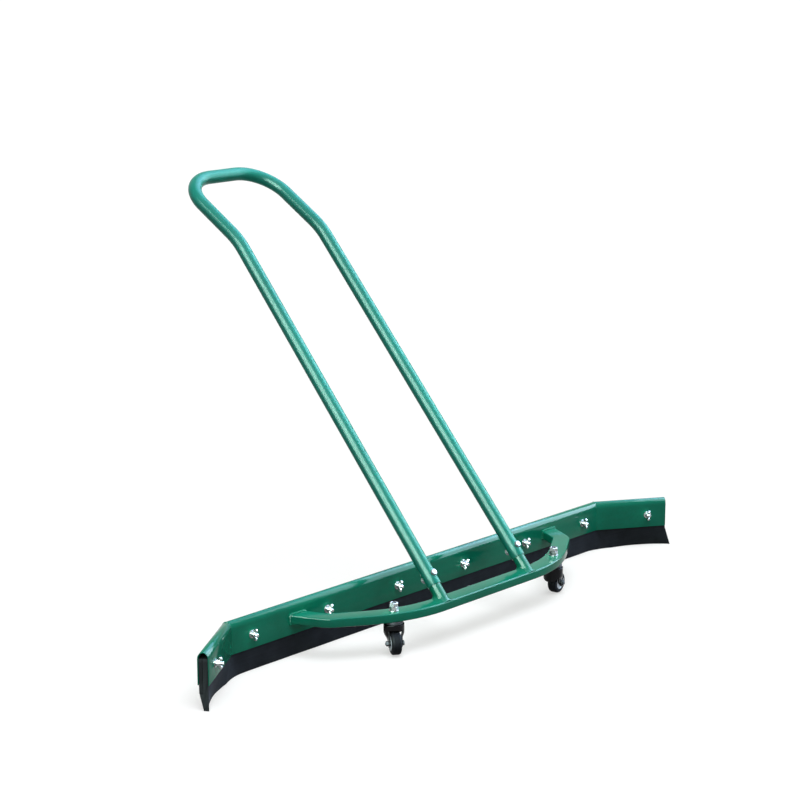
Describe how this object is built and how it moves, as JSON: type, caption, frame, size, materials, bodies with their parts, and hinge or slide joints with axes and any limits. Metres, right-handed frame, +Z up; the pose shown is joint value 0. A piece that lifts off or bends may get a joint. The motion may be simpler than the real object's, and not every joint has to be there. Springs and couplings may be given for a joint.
{
  "type": "tennis court squeegee",
  "caption": "Wide rubber-bladed water squeegee: a channel with two angled end wings, a bowed tube on swivel casters and a bent tube push handle.",
  "frame": {"origin": "on the floor, under the middle of the rubber blade's foot", "axes": "+X along the blade, +Y towards the person who holds the handle, +Z up"},
  "size_m": [1.5466, 0.878, 0.9403],
  "materials": {
    "green_enamel": "gloss",
    "green_handle": "gloss",
    "blade_rubber": "matte",
    "zinc_plate": "satin",
    "black_enamel": "gloss",
    "dark_steel": "satin",
    "white_plastic": "satin",
    "tyre_rubber": "matte"
  },
  "bodies": {
    "frame": {"channel_main": "green_enamel", "channel_wing_left": "green_enamel", "channel_wing_right": "green_enamel", "rubber_blade": "blade_rubber", "backing_strip": "blade_rubber", "clamp_bolt_1": "zinc_plate", "clamp_washer_1": "zinc_plate", "wing_nut_1": "zinc_plate", "clamp_bolt_2": "zinc_plate", "clamp_washer_2": "zinc_plate", "wing_nut_2": "zinc_plate", "clamp_bolt_3": "zinc_plate", "clamp_washer_3": "zinc_plate", "wing_nut_3": "zinc_plate", "clamp_bolt_4": "zinc_plate", "clamp_washer_4": "zinc_plate", "wing_nut_4": "zinc_plate", "clamp_bolt_5": "zinc_plate", "clamp_washer_5": "zinc_plate", "wing_nut_5": "zinc_plate", "clamp_bolt_6": "zinc_plate", "clamp_washer_6": "zinc_plate", "wing_nut_6": "zinc_plate", "clamp_bolt_7": "zinc_plate", "clamp_washer_7": "zinc_plate", "wing_nut_7": "zinc_plate", "clamp_bolt_8": "zinc_plate", "clamp_washer_8": "zinc_plate", "wing_nut_8": "zinc_plate", "bow_tube": "green_enamel", "socket_left": "green_enamel", "socket_right": "green_enamel", "handle_tube": "green_handle", "leg_bolt_left": "zinc_plate", "leg_nut_left": "zinc_plate", "leg_bolt_right": "zinc_plate", "leg_nut_right": "zinc_plate", "caster_left_stem": "dark_steel", "caster_left_stem_washer": "zinc_plate", "caster_left_stem_nut": "zinc_plate", "caster_left_lock_nut": "zinc_plate", "caster_right_stem": "dark_steel", "caster_right_stem_washer": "zinc_plate", "caster_right_stem_nut": "zinc_plate", "caster_right_lock_nut": "zinc_plate"},
    "caster_left_swivel": {"caster_left_ball_cage": "dark_steel", "caster_left_fork": "black_enamel", "caster_left_axle_bolt": "zinc_plate", "caster_left_axle_nut": "zinc_plate"},
    "caster_left_wheel": {"caster_left_bush": "dark_steel", "caster_left_hub": "white_plastic", "caster_left_tyre": "tyre_rubber"},
    "caster_right_swivel": {"caster_right_ball_cage": "dark_steel", "caster_right_fork": "black_enamel", "caster_right_axle_bolt": "zinc_plate", "caster_right_axle_nut": "zinc_plate"},
    "caster_right_wheel": {"caster_right_bush": "dark_steel", "caster_right_hub": "white_plastic", "caster_right_tyre": "tyre_rubber"}
  },
  "joints": [
    {"name": "caster_left_swivel_turn", "type": "hinge", "parent": "frame", "child": "caster_left_swivel", "pos_m": [-0.268, -0.15199, 0], "axis": [0, 0, 1], "continuous": true},
    {"name": "caster_left_wheel_roll", "type": "hinge", "parent": "caster_left_swivel", "child": "caster_left_wheel", "pos_m": [-0.2766, -0.16428, 0.025], "axis": [-0.8192, 0.5736, 0], "continuous": true},
    {"name": "caster_right_swivel_turn", "type": "hinge", "parent": "frame", "child": "caster_right_swivel", "pos_m": [0.268, -0.15199, 0], "axis": [0, 0, 1], "continuous": true},
    {"name": "caster_right_wheel_roll", "type": "hinge", "parent": "caster_right_swivel", "child": "caster_right_wheel", "pos_m": [0.28277, -0.14939, 0.025], "axis": [0.1736, -0.9848, 0], "continuous": true}
  ]
}
